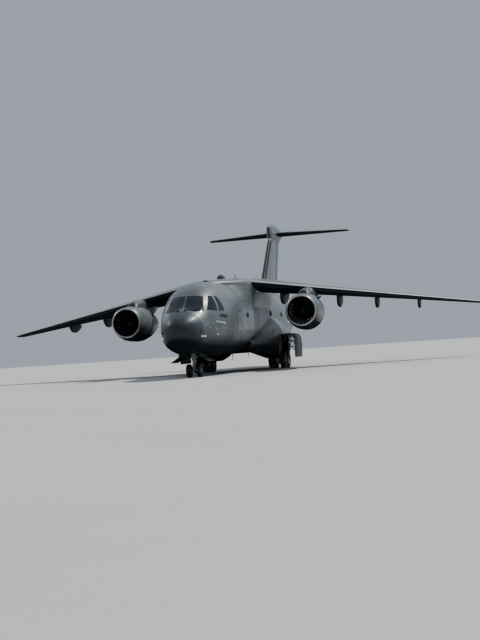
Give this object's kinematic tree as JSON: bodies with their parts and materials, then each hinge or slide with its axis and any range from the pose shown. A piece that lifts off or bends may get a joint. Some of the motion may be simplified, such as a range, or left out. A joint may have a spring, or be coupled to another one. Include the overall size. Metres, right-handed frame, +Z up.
{
  "type": "military transport plane",
  "caption": "High-wing twin-turbofan military transport plane on its landing gear, with a T-tail, hollow cargo hold, rear ramp, control surfaces and turning wheels.",
  "frame": {"origin": "on the ground, midway along the length and on the centre plane", "axes": "+Z up, -Y towards the nose, +X to the aircraft's left"},
  "size_m": [35.05, 35.2, 11.85],
  "materials": {
    "paint": "semi-gloss grey paint",
    "dark_composite": "semi-gloss dark grey paint on composite",
    "composite": "semi-gloss grey paint on composite",
    "engine": "dark titanium and steel",
    "gear": "gloss light grey paint",
    "tyre": "matt rubber",
    "glass": "tinted glass",
    "cabin": "matt grey lining"
  },
  "bodies": {
    "airframe": {"radome": "dark_composite", "cockpit_section": "paint", "forward_fuselage": "paint", "centre_fuselage": "paint", "rear_fuselage": "paint", "tail_cone": "composite", "wing_centre": "paint", "antenna_cover": "dark_composite", "cargo_floor": "cabin", "cockpit_floor": "cabin", "fin": "composite", "tailplane": "composite", "nose_gear_leg": "gear", "wing_left": "paint", "pylon_left": "paint", "nacelle_left": "paint", "engine_core_left": "engine", "sponson_left": "paint", "main_gear_leg_left": "gear", "main_gear_door_left": "composite", "nose_gear_door_left": "composite", "windscreen_left": "glass", "side_window_front_left": "glass", "side_window_rear_left": "glass", "wing_right": "paint", "pylon_right": "paint", "nacelle_right": "paint", "engine_core_right": "engine", "sponson_right": "paint", "main_gear_leg_right": "gear", "main_gear_door_right": "composite", "nose_gear_door_right": "composite", "windscreen_right": "glass", "side_window_front_right": "glass", "side_window_rear_right": "glass"},
    "flap_left": {"flap_left": "composite"},
    "aileron_left": {"aileron_left": "composite"},
    "elevator_left": {"elevator_left": "composite"},
    "fan_left": {"fan_left": "engine"},
    "main_wheels_left_front": {"main_wheels_left_front": "tyre"},
    "main_wheels_left_rear": {"main_wheels_left_rear": "tyre"},
    "flap_right": {"flap_right": "composite"},
    "aileron_right": {"aileron_right": "composite"},
    "elevator_right": {"elevator_right": "composite"},
    "fan_right": {"fan_right": "engine"},
    "main_wheels_right_front": {"main_wheels_right_front": "tyre"},
    "main_wheels_right_rear": {"main_wheels_right_rear": "tyre"},
    "nose_steering": {"nose_gear_fork": "gear"},
    "nose_wheels": {"nose_wheels": "tyre"},
    "rudder": {"rudder": "composite"},
    "crew_door": {"crew_door": "paint"},
    "cargo_ramp": {"cargo_ramp": "paint"},
    "upper_cargo_door": {"upper_cargo_door": "paint"}
  },
  "joints": [
    {"name": "flap_left", "type": "hinge", "parent": "airframe", "child": "flap_left", "pos_m": [2.6, -2.1699, 4.3889], "axis": [-0.9778, -0.1662, 0.1276], "range_deg": [0, 35]},
    {"name": "aileron_left", "type": "hinge", "parent": "airframe", "child": "aileron_left", "pos_m": [12.9, -0.4197, 4.195], "axis": [0.9774, 0.1659, -0.1313], "range_deg": [-25, 25]},
    {"name": "elevator_left", "type": "hinge", "parent": "airframe", "child": "elevator_left", "pos_m": [0.65, 15.7126, 11.0866], "axis": [0.9827, 0.1849, 0.01], "range_deg": [-20, 25]},
    {"name": "fan_left", "type": "hinge", "parent": "airframe", "child": "fan_left", "pos_m": [5.8, -8.33, 3.69], "axis": [0, 1, 0], "continuous": true},
    {"name": "main_wheels_left_front", "type": "hinge", "parent": "airframe", "child": "main_wheels_left_front", "pos_m": [2.74, -2.09, 0.56], "axis": [1, 0, 0], "continuous": true},
    {"name": "main_wheels_left_rear", "type": "hinge", "parent": "airframe", "child": "main_wheels_left_rear", "pos_m": [2.74, -0.77, 0.56], "axis": [1, 0, 0], "continuous": true},
    {"name": "flap_right", "type": "hinge", "parent": "airframe", "child": "flap_right", "pos_m": [-2.6, -2.1699, 4.3889], "axis": [-0.9778, 0.1662, -0.1276], "range_deg": [0, 35]},
    {"name": "aileron_right", "type": "hinge", "parent": "airframe", "child": "aileron_right", "pos_m": [-12.9, -0.4197, 4.195], "axis": [0.9774, -0.1659, 0.1313], "range_deg": [-25, 25]},
    {"name": "elevator_right", "type": "hinge", "parent": "airframe", "child": "elevator_right", "pos_m": [-0.65, 15.7126, 11.0866], "axis": [0.9827, -0.1849, -0.01], "range_deg": [-20, 25]},
    {"name": "fan_right", "type": "hinge", "parent": "airframe", "child": "fan_right", "pos_m": [-5.8, -8.33, 3.69], "axis": [0, 1, 0], "continuous": true},
    {"name": "main_wheels_right_front", "type": "hinge", "parent": "airframe", "child": "main_wheels_right_front", "pos_m": [-2.74, -2.09, 0.56], "axis": [1, 0, 0], "continuous": true},
    {"name": "main_wheels_right_rear", "type": "hinge", "parent": "airframe", "child": "main_wheels_right_rear", "pos_m": [-2.74, -0.77, 0.56], "axis": [1, 0, 0], "continuous": true},
    {"name": "nose_steering", "type": "hinge", "parent": "airframe", "child": "nose_steering", "pos_m": [0, -14.35, 1], "axis": [0, 0, 1], "range_deg": [-60, 60]},
    {"name": "nose_wheels", "type": "hinge", "parent": "nose_steering", "child": "nose_wheels", "pos_m": [0, -14.35, 0.4], "axis": [1, 0, 0], "continuous": true},
    {"name": "rudder", "type": "hinge", "parent": "airframe", "child": "rudder", "pos_m": [0, 12.075, 6.62], "axis": [0, 0.5817, 0.8134], "range_deg": [-25, 25]},
    {"name": "crew_door", "type": "hinge", "parent": "airframe", "child": "crew_door", "pos_m": [1.722, -13, 1.7], "axis": [0, 1, 0], "range_deg": [0, 115]},
    {"name": "cargo_ramp", "type": "hinge", "parent": "airframe", "child": "cargo_ramp", "pos_m": [0, 4.16, 1.25], "axis": [-1, 0, 0], "range_deg": [0, 26.5]},
    {"name": "upper_cargo_door", "type": "hinge", "parent": "airframe", "child": "upper_cargo_door", "pos_m": [0, 12.7927, 4.0193], "axis": [-1, 0, 0], "range_deg": [0, 20]}
  ]
}
